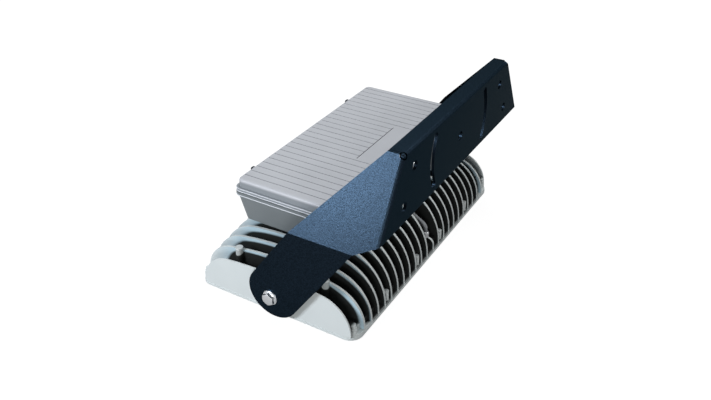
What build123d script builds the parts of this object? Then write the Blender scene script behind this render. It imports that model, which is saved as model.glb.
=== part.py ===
from build123d import *
from math import acos, atan2, cos, hypot, pi, radians, sin, sqrt, tan
import os

# Large finned flood light in a folded wall bracket.
# Millimetres. +Z up, +Y along the long side, +X from the lamp towards the wall.
# The pieces are drawn about the lamp: X = 0 on the pivot's upright plane, Y = 0 at the lamp's
# middle and Z = 0 at the underside of the front frame. Each is then moved so that the origin is the
# centre of the bracket's middle hole, on the face that lies against the wall.

# Lamp body, seen from above. Its middle lies at BODY_X, a little off the pivot.
BODY_LENGTH = 585.0
BODY_WIDTH = 344.0
BODY_CORNER_R = 25.0
BODY_X = -3.0

# Heights of the body's layers, from the underside up
FRAME_DEPTH = 4.6
RIM_DEPTH = 4.9
PAN_TOP = 22.0
CHAMBER_DEPTH = 13.5

# Rim, pan and light chamber
FRAME_PROUD = 0.8
PAN_INSET = 9.0
GLASS_MARGIN = 17.0
GLASS_LEDGE = 8.0
GLASS_CORNER_R = 18.0

# Cooling fins: plates across the body on evenly spaced lines
FIN_PITCH = 24.3
FIN_FIRST = 13.6
FIN_THICKNESS = 4.8
FIN_INSET = 1.5
FIN_SHOULDER_Z = 12.0
FIN_TOP = 122.0
FIN_SHOULDER_R = 110.0
CROWN_START = 110.0
CROWN_R = 390.0
SHOULDER_PER_DROP = 1.4
END_GAP = 24.0

# Low rib in the middle gap
RIB_TOP = 33.0
RIB_ARC_R = 14.0
RIB_LENGTH = 60.0

# End plates that carry the pivots
END_THICKNESS = 3.0
END_HALF_WIDTH = 158.5
END_SHOULDER_Z = 12.3
END_SHOULDER_R = 65.0
END_TOP = 82.3

# Round posts inside the end plates
POST_R = 7.0
POST_X = 92.7
POST_TOP = 92.0
POST_FROM_END = 27.0

# Pivot on the end plates
PIVOT_Z = 40.0
PIVOT_R = 7.0
PIVOT_BOSS_R = 22.0
THREAD_CLEARANCE = 0.05
BOLT_HEX_FLATS = 21.5
BOLT_HEAD_HEIGHT = 8.0
BOLT_FLANGE_R = 12.6
BOLT_FLANGE_HEIGHT = 2.0
WASHER_R = 14.5
WASHER_THICKNESS = 2.0
BUSH_FLANGE_R = 20.0
BUSH_SPIGOT_R = 10.0
BUSH_RUNNING_CLEARANCE = 0.08
ARM_GAP = 5.1

# Folded steel bracket
PLATE = 5.0
FOLD_R = 5.5
WALL_FACE_X = 211.5
WEB_BOTTOM = 216.5
WEB_TOP = 342.3
FOLD_Z = 194.7
FACET_LEAN = 30.4
LIP_DEPTH = 29.8
FACET_FRONT_X = 46.4
FACET_REAR_X = 169.3
ARM_END_X = 6.0
ARM_END_Z = 50.9
ARM_END_R = 51.4
LIP_SEAM = 0.8
RELIEF_R = 7.0
RELIEF_INSET = 4.0

# Holes in the bracket's web, from the middle hole
MIDDLE_HOLE_Z = 278.1
MIDDLE_HOLE_R = 8.5
CORNER_HOLE_R = 8.5
UPPER_HOLE_Y = 178.1
UPPER_HOLE_RISE = 28.9
LOWER_HOLE_Y = 211.0
LOWER_HOLE_DROP = 31.1
SLOT_ARC_R = 112.5
SLOT_WIDTH = 13.5
SLOT_HALF_RISE = 45.9

# Gear box on top of the fins
BOX_LENGTH = 474.0
BOX_WIDTH = 234.0
BOX_CORNER_R = 14.0
BOX_FLANGE_Z = 182.5
BOX_RIM_Z = 189.5
BOX_FLANGE_REACH = 4.2
BOX_END_TAPER = 12.5
BOX_SIDE_TAPER = 4.5
BOX_WALL = 3.5
BOX_EDGE_R = 6.0
TUB_CORNER_R = 8.0

# Lid of the gear box
LID_TOP = 213.8
LID_SKIRT_Z = 198.0
LID_RIM_INSET = 1.2
LID_STEP = 4.6
LID_WALL = 3.0
LID_EDGE_R = 5.0
GASKET_THICKNESS = 1.0
GASKET_WIDTH = 7.0
GROOVE_WIDTH = 1.4
GROOVE_DEPTH = 0.9
GROOVE_PITCH = 17.85
GROOVE_FIRST = -212.0
GROOVE_COUNT = 25
GROOVE_END = 4.0
PAD_X = 35.5
PAD_START = -62.7
PAD_END = 79.7

# Lid hinge
HINGE_Y = (-167.0, 167.0)
HINGE_PIN_R = 2.5
KNUCKLE_R = 4.6
KNUCKLE_LENGTH = 10.0
KNUCKLE_GAP = 0.4
HINGE_STANDOFF = 0.5
PIN_CLEARANCE = 0.05
LUG_WIDTH = 5.0
LUG_R = 4.0
LUG_OUT = 2.4
LUG_RISE = 8.0

# Captive lid screws and their ears
EAR_Y = (-150.0, 0.0, 150.0)
EAR_R = 8.0
EAR_REACH = 6.0
LID_SCREW_R = 2.5
LID_SCREW_CLEARANCE = 0.6

# Screws
SCREW_R = 2.5
SCREW_HEAD_R = 4.6
SCREW_HEAD_HEIGHT = 2.6
SCREW_CLEARANCE = 0.3
HEAD_POCKET_CLEARANCE = 0.5
RIM_SCREW_Y = (-171.6, -50.0, 50.0, 171.6)
RIM_SCREW_LENGTH = 20.0
RIM_BOSS_R = 5.5
RIM_BOSS_TOP = 29.0
CORNER_SCREW_REACH = 16.0
CORNER_RING_COUNT = 3
CORNER_RING_STEP = 1.2
CORNER_RING_DROP = 5.5

# Glass and its seal
GLASS_THICKNESS = 4.0
GLASS_GAP = 1.0
FRAME_LIP = 2.0
LIP_OVERLAP = 6.0
SEAL_THICKNESS = 1.5

# Light engines
ENGINE_ROWS = 3
ENGINE_COLUMNS = 2
ENGINE_GAP = 4.0
ENGINE_MARGIN = 3.0
BOARD_THICKNESS = 1.6
LENS_PLATE = 2.4
LENS_PITCH = 55.0
LENS_R = 21.0
LENS_HEIGHT = 5.0
LENS_ROWS = 3
LENS_COLUMNS = 2
CHIP_SIDE = 9.0
CHIP_HEIGHT = 0.9
CHIP_CLEARANCE = 0.4

# Inside the gear box
PILLAR_R = 8.0
PILLAR_X = 70.0
PILLAR_LINE_COUNT = 5.5
STANDOFF_R = 5.0
STANDOFF_HEIGHT = 6.0
TRAY_THICKNESS = 2.0
TRAY_FOLD = 10.0
TRAY_FOLD_START = 30.0
TRAY_WALL_GAP = 8.0
WIRING_LENGTH = 97.0
DRIVER_WIDTH = 68.0
DRIVER_HEIGHT = 38.0
DRIVER_SIDE_GAP = 9.0
DRIVER_END_GAP = 8.0
DRIVER_AUX_GAP = 16.0
DRIVER_FOOT = 12.0
CASE_CHAMFER = 2.0
TERMINAL_WAYS = 5
TERMINAL_PITCH = 12.0
TERMINAL_DEPTH = 30.0
TERMINAL_HEIGHT = 22.0
SURGE_WIDTH = 36.0
SURGE_DEPTH = 30.0
SURGE_HEIGHT = 28.0
AUX_FROM_END = 25.0
AUX_SIDE_GAP = 2.0

# Cable entry, vent and the link between the gear box and the light chamber
ENTRY_X = -45.0
ENTRY_Z = 156.0
ENTRY_BOSS_R = 17.0
ENTRY_BOSS_REACH = 5.0
GLAND_THREAD_R = 12.5
GLAND_HEX_FLATS = 30.0
GLAND_HEX_HEIGHT = 6.0
GLAND_NUT_R = 14.5
GLAND_NUT_HEIGHT = 16.0
GLAND_BORE_R = 8.0
GLAND_LIP = 1.0
PLUG_RECESS = 2.0
GLAND_LOCKNUT_HEIGHT = 4.0
VENT_X = 45.0
VENT_R = 9.0
VENT_HEIGHT = 5.0
VENT_CHAMFER = 1.25
VENT_STEM_R = 4.0
LINK_R = 4.5
LINK_FROM_EDGE = 19.5
LINK_FROM_WALL = 24.0
LINK_STRAIGHT = 13.0
LINK_BEND_R = 13.5
LINK_GLAND_R = 8.0
LINK_GLAND_HEIGHT = 12.0
LINK_DOME_R = 3.2
PASSAGE_COVER = 0.5

HALF_L = BODY_LENGTH / 2
HALF_W = BODY_WIDTH / 2
RIM_TOP = FRAME_DEPTH + RIM_DEPTH
END_FACE = HALF_L - FRAME_PROUD
END_INNER = END_FACE - END_THICKNESS
ARM_INNER = END_FACE + ARM_GAP
ARM_OUTER = ARM_INNER + PLATE
LINK_Y = FIN_FIRST - FIN_THICKNESS / 2


# Shapes shared by several pieces

def slab(width, length, corner_r, z0, z1):
    """Flat plate with rounded corners, centred on Z, from z0 up to z1."""
    return Pos(0, 0, z0) * extrude(RectangleRounded(width, length, corner_r), z1 - z0)


def box(x0, x1, y0, y1, z0, z1):
    return Pos((x0 + x1) / 2, (y0 + y1) / 2, (z0 + z1) / 2) * Box(x1 - x0, y1 - y0, z1 - z0)


def rod_z(x, y, radius, z0, z1):
    return Pos(x, y, (z0 + z1) / 2) * Cylinder(radius, z1 - z0)


def rod_y(x, z, radius, y0, y1):
    return Pos(x, (y0 + y1) / 2, z) * Rot(90, 0, 0) * Cylinder(radius, abs(y1 - y0))


def rod_x(y, z, radius, x0, x1):
    return Pos((x0 + x1) / 2, y, z) * Rot(0, 90, 0) * Cylinder(radius, x1 - x0)


def across(outline, y0, y1):
    """An outline drawn in X and Z, extruded along Y from y0 to y1."""
    return extrude(Plane.XZ.offset(-y1) * outline, y1 - y0)


def hex_prism_y(x, z, flats, y0, y1):
    """Hexagon bar along Y with two corners on the X direction."""
    outline = RegularPolygon(flats / sqrt(3), 6)
    return Pos(x, y0, z) * Rot(-90, 0, 0) * extrude(outline, y1 - y0)


def screw_down(x, y, head_z, length):
    """Screw that hangs down from its head's seat at head_z."""
    head = rod_z(x, y, SCREW_HEAD_R, head_z, head_z + SCREW_HEAD_HEIGHT)
    return head + rod_z(x, y, SCREW_R, head_z - length, head_z)


def mirror_ends(shape):
    return [shape, mirror(shape, Plane.XZ)]


def on_casting(shape):
    """Move a shape drawn about X = 0 onto the casting's middle, which lies a little off the pivot."""
    return Pos(BODY_X, 0, 0) * shape


def crowned_outline(half_width, shoulder_z, shoulder_r, top_z, foot_z):
    """Plate seen along Y: upright sides, round shoulders and a crown arc tangent to both."""
    centre_x = half_width - shoulder_r
    rise = top_z - shoulder_z
    if rise - shoulder_r > 0.05:
        crown_r = (centre_x**2 + rise**2 - shoulder_r**2) / (2 * (rise - shoulder_r))
        crown_z = top_z - crown_r
        span = hypot(centre_x, shoulder_z - crown_z)
        tangent = (centre_x / span * crown_r, crown_z + (shoulder_z - crown_z) / span * crown_r)
        crown = ThreePointArc(tangent, (0, top_z), (-tangent[0], tangent[1]))
    else:
        tangent = (centre_x, shoulder_z + shoulder_r)
        crown = Line(tangent, (-centre_x, tangent[1]))
    half_turn = atan2(tangent[1] - shoulder_z, tangent[0] - centre_x) / 2
    bulge = (centre_x + shoulder_r * cos(half_turn), shoulder_z + shoulder_r * sin(half_turn))
    edges = [
        Line((-half_width, foot_z), (half_width, foot_z)),
        Line((half_width, foot_z), (half_width, shoulder_z)),
        ThreePointArc((half_width, shoulder_z), bulge, tangent),
        crown,
        ThreePointArc((-tangent[0], tangent[1]), (-bulge[0], bulge[1]), (-half_width, shoulder_z)),
        Line((-half_width, shoulder_z), (-half_width, foot_z)),
    ]
    return Face(Wire(edges))


# Fins

def fin_lines():
    """Y of the pitch lines that carry full fins, the near half first."""
    reach = END_INNER - END_GAP
    steps = int((reach - FIN_FIRST) / FIN_PITCH)
    near = [-(FIN_FIRST + k * FIN_PITCH) for k in range(steps, -1, -1)]
    far = [FIN_FIRST + k * FIN_PITCH for k in range(1, steps + 1)]
    return near + far


def crown_drop(y):
    """How far the fin tops fall below the flat middle: an arc tangent to it at CROWN_START."""
    beyond = max(abs(y) - CROWN_START, 0)
    return CROWN_R - sqrt(CROWN_R**2 - beyond**2)


def fin(y):
    drop = crown_drop(y)
    outline = crowned_outline(
        HALF_W - FIN_INSET,
        FIN_SHOULDER_Z,
        FIN_SHOULDER_R - SHOULDER_PER_DROP * drop,
        FIN_TOP - drop,
        RIM_TOP,
    )
    return on_casting(across(outline, y - FIN_THICKNESS, y))


def low_rib(side):
    """Short rib at each end of the middle gap, with a round outer corner."""
    outer = HALF_W - FIN_INSET
    corner = RIB_ARC_R * (1 - sqrt(0.5))
    edges = [
        Line((outer - RIB_LENGTH, RIM_TOP), (outer, RIM_TOP)),
        Line((outer, RIM_TOP), (outer, RIB_TOP - RIB_ARC_R)),
        ThreePointArc(
            (outer, RIB_TOP - RIB_ARC_R),
            (outer - corner, RIB_TOP - corner),
            (outer - RIB_ARC_R, RIB_TOP),
        ),
        Line((outer - RIB_ARC_R, RIB_TOP), (outer - RIB_LENGTH, RIB_TOP)),
        Line((outer - RIB_LENGTH, RIB_TOP), (outer - RIB_LENGTH, RIM_TOP)),
    ]
    rib = across(Face(Wire(edges)), FIN_FIRST - FIN_THICKNESS, FIN_FIRST)
    return on_casting(rib if side > 0 else mirror(rib, Plane.YZ))


# Screw places

def rim_screws():
    """Centres of the frame screws: four along each long side and one in each corner."""
    x = HALF_W - GLASS_MARGIN / 2
    sides = [(BODY_X + s * x, y) for s in (-1, 1) for y in RIM_SCREW_Y]
    return sides + corner_screws()


def corner_screws():
    diagonal = CORNER_SCREW_REACH * sqrt(0.5) - BODY_CORNER_R
    x = HALF_W + diagonal
    y = HALF_L + diagonal
    return [(BODY_X + s * x, e * y) for s in (-1, 1) for e in (-1, 1)]


def pillars():
    """Centres of the pillars that carry the gear box, midway between two fins."""
    y = FIN_FIRST + PILLAR_LINE_COUNT * FIN_PITCH
    lean = FIN_THICKNESS / 2
    return [(s * PILLAR_X, e * y - lean) for s in (-1, 1) for e in (-1, 1)]


# Led housing: one casting with its fins

def led_housing():
    rim = body_slab(FRAME_PROUD, FRAME_DEPTH, RIM_TOP)
    pan = body_slab(PAN_INSET, RIM_TOP, PAN_TOP)
    end_outline = crowned_outline(END_HALF_WIDTH, END_SHOULDER_Z, END_SHOULDER_R, END_TOP, RIM_TOP)
    end = across(end_outline, END_INNER, END_FACE)
    post_y = END_FACE - POST_FROM_END
    boss = rod_y(0, PIVOT_Z, PIVOT_BOSS_R, post_y, END_INNER)
    foot = box(-PIVOT_BOSS_R, PIVOT_BOSS_R, post_y, END_INNER, RIM_TOP, PIVOT_Z)
    solids = [pan] + [fin(y) for y in fin_lines()] + [low_rib(1), low_rib(-1)]
    for shape in (end, boss, foot):
        solids += mirror_ends(shape)
    for side in (-1, 1):
        solids += mirror_ends(rod_z(side * POST_X, post_y, POST_R, RIM_TOP, POST_TOP))
    solids += [rod_z(x, y, RIM_BOSS_R, RIM_TOP, RIM_BOSS_TOP) for x, y in rim_screws()]
    for k in range(1, CORNER_RING_COUNT):
        ring_r = RIM_BOSS_R + k * CORNER_RING_STEP
        ring_top = RIM_BOSS_TOP - k * CORNER_RING_DROP
        solids += [rod_z(x, y, ring_r, RIM_TOP, ring_top) for x, y in corner_screws()]
    solids += [rod_z(x, y, PILLAR_R, RIM_TOP, FIN_TOP) for x, y in pillars()]
    body = rim.fuse(*solids)
    ledge = FRAME_LIP + GLASS_THICKNESS + SEAL_THICKNESS
    cuts = [window_slab(-GLASS_GAP, 0, ledge), window_slab(GLASS_LEDGE, 0, chamber_top())]
    hole_r = SCREW_R + THREAD_CLEARANCE
    cuts += [rod_z(x, y, hole_r, 0, RIM_SCREW_LENGTH + SCREW_CLEARANCE) for x, y in rim_screws()]
    cuts += [rod_z(x, y, hole_r, FIN_TOP - RIM_SCREW_LENGTH, FIN_TOP) for x, y in pillars()]
    cuts += mirror_ends(rod_y(0, PIVOT_Z, PIVOT_R + THREAD_CLEARANCE, post_y, END_FACE))
    link_r = LINK_R + THREAD_CLEARANCE
    passage_z = ledge + LINK_R + PASSAGE_COVER
    chamber_edge = BODY_X + chamber_size()[0] / 2
    cuts.append(rod_z(link_lower_x(), LINK_Y, link_r, passage_z, RIB_TOP))
    cuts.append(rod_x(LINK_Y, passage_z, link_r, chamber_edge - LINK_R, link_lower_x() + link_r))
    return body.cut(*cuts)


def body_slab(inset, z0, z1):
    """Slab of the casting's outline, inset all round."""
    width = BODY_WIDTH - 2 * inset
    length = BODY_LENGTH - 2 * inset
    return on_casting(slab(width, length, BODY_CORNER_R - inset, z0, z1))


def window_slab(inset, z0, z1):
    """Slab of the glass's outline, inset all round."""
    width, length = glass_size()
    return on_casting(slab(width - 2 * inset, length - 2 * inset, GLASS_CORNER_R - inset, z0, z1))


def glass_size():
    return BODY_WIDTH - 2 * GLASS_MARGIN, BODY_LENGTH - 2 * GLASS_MARGIN


def chamber_size():
    return glass_size()[0] - 2 * GLASS_LEDGE, glass_size()[1] - 2 * GLASS_LEDGE


def chamber_top():
    return FRAME_LIP + CHAMBER_DEPTH


# Front frame, glass and seal

def front_frame():
    ring = body_slab(0, 0, FRAME_DEPTH)
    cuts = [window_slab(-GLASS_GAP, FRAME_LIP, FRAME_DEPTH), window_slab(LIP_OVERLAP, 0, FRAME_LIP)]
    head_depth = SCREW_HEAD_HEIGHT + SCREW_CLEARANCE
    for x, y in rim_screws():
        cuts.append(rod_z(x, y, SCREW_HEAD_R + HEAD_POCKET_CLEARANCE, 0, head_depth))
        cuts.append(rod_z(x, y, SCREW_R + SCREW_CLEARANCE, 0, FRAME_DEPTH))
    return ring.cut(*cuts)


def frame_screws():
    seat = SCREW_HEAD_HEIGHT + SCREW_CLEARANCE
    screw = screw_down(0, 0, 0, RIM_SCREW_LENGTH - seat)
    upside_down = mirror(screw, Plane.XY)
    return Compound(children=[Pos(x, y, seat) * upside_down for x, y in rim_screws()])


def front_glass():
    return window_slab(0, FRAME_LIP, FRAME_LIP + GLASS_THICKNESS)


def glass_seal():
    z0 = FRAME_LIP + GLASS_THICKNESS
    z1 = z0 + SEAL_THICKNESS
    return window_slab(0, z0, z1) - window_slab(GLASS_LEDGE, z0, z1)


# Light engines: boards, lens plates and their screws

def engine_size():
    chamber_w, chamber_l = chamber_size()
    width = (chamber_w - 2 * ENGINE_MARGIN - (ENGINE_COLUMNS - 1) * ENGINE_GAP) / ENGINE_COLUMNS
    length = (chamber_l - 2 * ENGINE_MARGIN - (ENGINE_ROWS - 1) * ENGINE_GAP) / ENGINE_ROWS
    return width, length


def engine_places():
    width, length = engine_size()
    grid = GridLocations(width + ENGINE_GAP, length + ENGINE_GAP, ENGINE_COLUMNS, ENGINE_ROWS)
    return [Pos(BODY_X, 0, 0) * place for place in grid]


def lens_places():
    return GridLocations(LENS_PITCH, LENS_PITCH, LENS_COLUMNS, LENS_ROWS)


def led_boards():
    width, length = engine_size()
    z1 = chamber_top()
    z0 = z1 - BOARD_THICKNESS
    board = Pos(0, 0, (z0 + z1) / 2) * Box(width, length, BOARD_THICKNESS)
    chip = Pos(0, 0, z0 - CHIP_HEIGHT / 2) * Box(CHIP_SIDE, CHIP_SIDE, CHIP_HEIGHT)
    board = board.fuse(*[place * chip for place in lens_places()])
    return Compound(children=[place * board for place in engine_places()])


def lens_plates():
    width, length = engine_size()
    z1 = chamber_top() - BOARD_THICKNESS
    z0 = z1 - LENS_PLATE
    plate = Pos(0, 0, (z0 + z1) / 2) * Box(width - 2 * ENGINE_MARGIN, length - 2 * ENGINE_MARGIN, LENS_PLATE)
    sphere_r = (LENS_R**2 + LENS_HEIGHT**2) / (2 * LENS_HEIGHT)
    half_turn = atan2(LENS_R, sphere_r - LENS_HEIGHT) / 2
    bulge = (sphere_r * sin(half_turn), z0 - LENS_HEIGHT + sphere_r * (1 - cos(half_turn)))
    half = Face(Wire([
        Line((0, z0), (LENS_R, z0)),
        ThreePointArc((LENS_R, z0), bulge, (0, z0 - LENS_HEIGHT)),
        Line((0, z0 - LENS_HEIGHT), (0, z0)),
    ]))
    dome = revolve(Plane.XZ * half, Axis.Z)
    pocket_side = CHIP_SIDE + 2 * CHIP_CLEARANCE
    pocket_depth = CHIP_HEIGHT + CHIP_CLEARANCE
    pocket = Pos(0, 0, z1 - pocket_depth / 2) * Box(pocket_side, pocket_side, pocket_depth)
    plate = plate.fuse(*[place * dome for place in lens_places()])
    plate = plate.cut(*[place * pocket for place in lens_places()])
    return Compound(children=[place * plate for place in engine_places()])


# Pivot bolts, washers and bushes

def pivot_bolt():
    y0 = END_FACE - POST_FROM_END
    seat = ARM_OUTER + WASHER_THICKNESS
    shank = rod_y(0, PIVOT_Z, PIVOT_R, y0, seat)
    flange = rod_y(0, PIVOT_Z, BOLT_FLANGE_R, seat, seat + BOLT_FLANGE_HEIGHT)
    hex_end = seat + BOLT_HEAD_HEIGHT
    return shank + flange + hex_prism_y(0, PIVOT_Z, BOLT_HEX_FLATS, seat, hex_end)


def pivot_washer():
    y1 = ARM_OUTER + WASHER_THICKNESS
    ring = rod_y(0, PIVOT_Z, WASHER_R, ARM_OUTER, y1)
    return ring - rod_y(0, PIVOT_Z, PIVOT_R + THREAD_CLEARANCE, ARM_OUTER, y1)


def pivot_bush():
    flange = rod_y(0, PIVOT_Z, BUSH_FLANGE_R, END_FACE, ARM_INNER)
    spigot = rod_y(0, PIVOT_Z, BUSH_SPIGOT_R, END_FACE, ARM_OUTER)
    return flange + spigot - rod_y(0, PIVOT_Z, PIVOT_R + THREAD_CLEARANCE, END_FACE, ARM_OUTER)


# Bracket: one steel plate with a web, a lip, two leaning facets and two arms

def tangent_point(x, z, side):
    """Where the line from (x, z) touches the round end of the arm."""
    reach = hypot(x - ARM_END_X, z - ARM_END_Z)
    angle = atan2(z - ARM_END_Z, x - ARM_END_X) + side * acos(ARM_END_R / reach)
    return ARM_END_X + ARM_END_R * cos(angle), ARM_END_Z + ARM_END_R * sin(angle)


def bracket_side_outline():
    """Arm and facet seen along Y."""
    front = tangent_point(FACET_FRONT_X, FOLD_Z, 1)
    rear = tangent_point(FACET_REAR_X, FOLD_Z, -1)
    a0 = atan2(front[1] - ARM_END_Z, front[0] - ARM_END_X)
    a1 = atan2(rear[1] - ARM_END_Z, rear[0] - ARM_END_X) + 2 * pi
    mid = (a0 + a1) / 2
    low = (ARM_END_X + ARM_END_R * cos(mid), ARM_END_Z + ARM_END_R * sin(mid))
    lip_x = WALL_FACE_X - LIP_DEPTH
    edges = [
        ThreePointArc(front, low, rear),
        Line(rear, (FACET_REAR_X, FOLD_Z)),
        Line((FACET_REAR_X, FOLD_Z), (WALL_FACE_X, WEB_BOTTOM)),
        Line((WALL_FACE_X, WEB_BOTTOM), (WALL_FACE_X, WEB_TOP)),
        Line((WALL_FACE_X, WEB_TOP), (lip_x, WEB_TOP)),
        Line((lip_x, WEB_TOP), (FACET_FRONT_X, FOLD_Z)),
        Line((FACET_FRONT_X, FOLD_Z), front),
    ]
    return Face(Wire(edges))


def facet_y(z, inward=0.0):
    """Half width of the bracket at height z, on a surface that lies inward of the outer one."""
    lean = radians(FACET_LEAN)
    return ARM_OUTER - (z - FOLD_Z) * tan(lean) - inward / cos(lean)


def bracket():
    low = ARM_END_Z - ARM_END_R
    lean = radians(FACET_LEAN)
    inner_fold_z = FOLD_Z - PLATE * (1 - cos(lean)) / sin(lean)
    lip_x = WALL_FACE_X - LIP_DEPTH
    front_x = ARM_END_X - ARM_END_R
    solids = []
    for side in (-1, 1):
        section = Polyline(
            (side * ARM_OUTER, low),
            (side * ARM_OUTER, FOLD_Z),
            (side * facet_y(WEB_TOP), WEB_TOP),
            (side * facet_y(WEB_TOP, PLATE), WEB_TOP),
            (side * ARM_INNER, inner_fold_z),
            (side * ARM_INNER, low),
            close=True,
        )
        wall = Pos(front_x, 0, 0) * extrude(Plane.YZ * make_face(section), WALL_FACE_X - front_x)
        side_prism = across(bracket_side_outline(), -ARM_OUTER, ARM_OUTER)
        solids.append(wall & side_prism)
    web_outline = Polyline(
        (-facet_y(WEB_BOTTOM), WEB_BOTTOM),
        (facet_y(WEB_BOTTOM), WEB_BOTTOM),
        (facet_y(WEB_TOP), WEB_TOP),
        (-facet_y(WEB_TOP), WEB_TOP),
        close=True,
    )
    web = Pos(WALL_FACE_X - PLATE, 0, 0) * extrude(Plane.YZ * make_face(web_outline), PLATE)
    lip_half = facet_y(WEB_TOP, PLATE) - LIP_SEAM
    lip = box(lip_x, WALL_FACE_X, -lip_half, lip_half, WEB_TOP - PLATE, WEB_TOP)
    body = web.fuse(*solids, lip)
    cuts = [rod_x(0, MIDDLE_HOLE_Z, MIDDLE_HOLE_R, WALL_FACE_X - 2 * PLATE, WALL_FACE_X)]
    cuts.append(fold_waste((WALL_FACE_X, lip_half, WEB_TOP), (0, -1, 0), 2 * lip_half))
    side_fold = (0, -sin(lean), cos(lean))
    side_length = (WEB_TOP - FOLD_Z) / cos(lean)
    cuts += mirror_ends(fold_waste((WALL_FACE_X, ARM_OUTER, FOLD_Z), side_fold, side_length))
    for side in (-1, 1):
        cuts.append(web_hole(side * UPPER_HOLE_Y, MIDDLE_HOLE_Z + UPPER_HOLE_RISE))
        cuts.append(web_hole(side * LOWER_HOLE_Y, MIDDLE_HOLE_Z - LOWER_HOLE_DROP))
        cuts.append(arc_slot(side))
        corner_y = side * (facet_y(WEB_TOP) - RELIEF_INSET)
        corner = Pos(WALL_FACE_X - RELIEF_INSET, corner_y, WEB_TOP - RELIEF_INSET)
        cuts.append(corner * Sphere(RELIEF_R))
    cuts += mirror_ends(
        rod_y(0, PIVOT_Z, BUSH_SPIGOT_R + BUSH_RUNNING_CLEARANCE, ARM_INNER, ARM_OUTER)
    )
    return body.cut(*cuts)


def fold_waste(start, direction, length):
    """What a fold leaves out of the square corner along an edge of the wall face."""
    corner = Plane(origin=start, x_dir=(1, 0, 0), z_dir=direction)
    square = Pos(-FOLD_R / 2, -FOLD_R / 2) * Rectangle(FOLD_R, FOLD_R)
    waste = square - Pos(-FOLD_R, -FOLD_R) * Circle(FOLD_R)
    return extrude(corner * waste, length)


def web_hole(y, z):
    return rod_x(y, z, CORNER_HOLE_R, WALL_FACE_X - 2 * PLATE, WALL_FACE_X)


def arc_slot(side):
    """Curved slot about the middle hole, with round ends."""
    half_angle = atan2(SLOT_HALF_RISE, sqrt(SLOT_ARC_R**2 - SLOT_HALF_RISE**2))
    outer = SLOT_ARC_R + SLOT_WIDTH / 2
    inner = SLOT_ARC_R - SLOT_WIDTH / 2
    def point(radius, angle):
        return side * radius * cos(angle), MIDDLE_HOLE_Z + radius * sin(angle)
    def end_cap(angle, sign):
        turn = angle + sign * pi / 2
        centre = point(SLOT_ARC_R, angle)
        return (
            centre[0] + side * SLOT_WIDTH / 2 * cos(turn),
            centre[1] + SLOT_WIDTH / 2 * sin(turn),
        )
    edges = [
        ThreePointArc(point(outer, -half_angle), point(outer, 0), point(outer, half_angle)),
        ThreePointArc(point(outer, half_angle), end_cap(half_angle, 1), point(inner, half_angle)),
        ThreePointArc(point(inner, half_angle), point(inner, 0), point(inner, -half_angle)),
        ThreePointArc(point(inner, -half_angle), end_cap(-half_angle, -1), point(outer, -half_angle)),
    ]
    depth = 2 * PLATE
    return Pos(WALL_FACE_X - depth, 0, 0) * extrude(Plane.YZ * Face(Wire(edges)), depth, dir=(1, 0, 0))


# Gear box

def tapered_tub(inset, z0, z1):
    """Box that narrows downward, inset from the outside of the gear box wall."""
    sections = []
    for z in (z0, BOX_FLANGE_Z):
        outline = RectangleRounded(2 * wall_x(z, inset), 2 * wall_y(z, inset), TUB_CORNER_R)
        sections.append(Pos(0, 0, z) * outline)
    tub = loft(sections, ruled=True)
    if z1 > BOX_FLANGE_Z:
        tub += extrude(sections[1], z1 - BOX_FLANGE_Z)
    return tub


def bottom_rounded(shape, z, radius):
    edges = shape.edges().filter_by_position(Axis.Z, z - 0.01, z + 0.01)
    return fillet(edges, radius)


def wall_x(z, inset=0.0):
    """Half width of the tub's outside at height z."""
    draft = (BOX_FLANGE_Z - z) * tan(radians(BOX_SIDE_TAPER))
    return BOX_WIDTH / 2 - BOX_FLANGE_REACH - inset - draft


def wall_y(z, inset=0.0):
    """Half length of the tub's outside at height z."""
    draft = (BOX_FLANGE_Z - z) * tan(radians(BOX_END_TAPER))
    return BOX_LENGTH / 2 - BOX_FLANGE_REACH - inset - draft


def hinge_x():
    return -(BOX_WIDTH / 2 + HINGE_STANDOFF + KNUCKLE_R)


def hinge_z():
    return BOX_RIM_Z + GASKET_THICKNESS / 2


def knuckle(y0, z_tab0, z_tab1, edge_x):
    """Barrel about the hinge line with a tab that reaches the edge it is cast on."""
    y1 = y0 + KNUCKLE_LENGTH
    barrel = rod_y(hinge_x(), hinge_z(), KNUCKLE_R, y0, y1)
    tab = box(hinge_x(), edge_x, y0, y1, z_tab0, z_tab1)
    bore = rod_y(hinge_x(), hinge_z(), HINGE_PIN_R + PIN_CLEARANCE, y0, y1)
    return barrel + tab - bore


def hinge_lug(y):
    """Narrow round-topped lug that stands on the lid's knuckle."""
    x = hinge_x() - LUG_OUT
    z = hinge_z() + LUG_RISE
    y0 = y - LUG_WIDTH / 2
    y1 = y + LUG_WIDTH / 2
    bore = rod_y(hinge_x(), hinge_z(), HINGE_PIN_R + PIN_CLEARANCE, y0, y1)
    return rod_y(x, z, LUG_R, y0, y1) + box(x - LUG_R, x + LUG_R, y0, y1, hinge_z(), z) - bore


def ear(y, z0, z1, edge_x):
    """Rounded ear on the wall side that takes a lid screw."""
    x = BOX_WIDTH / 2 + EAR_REACH
    return rod_z(x, y, EAR_R, z0, z1) + box(edge_x, x, y - EAR_R, y + EAR_R, z0, z1)


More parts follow.
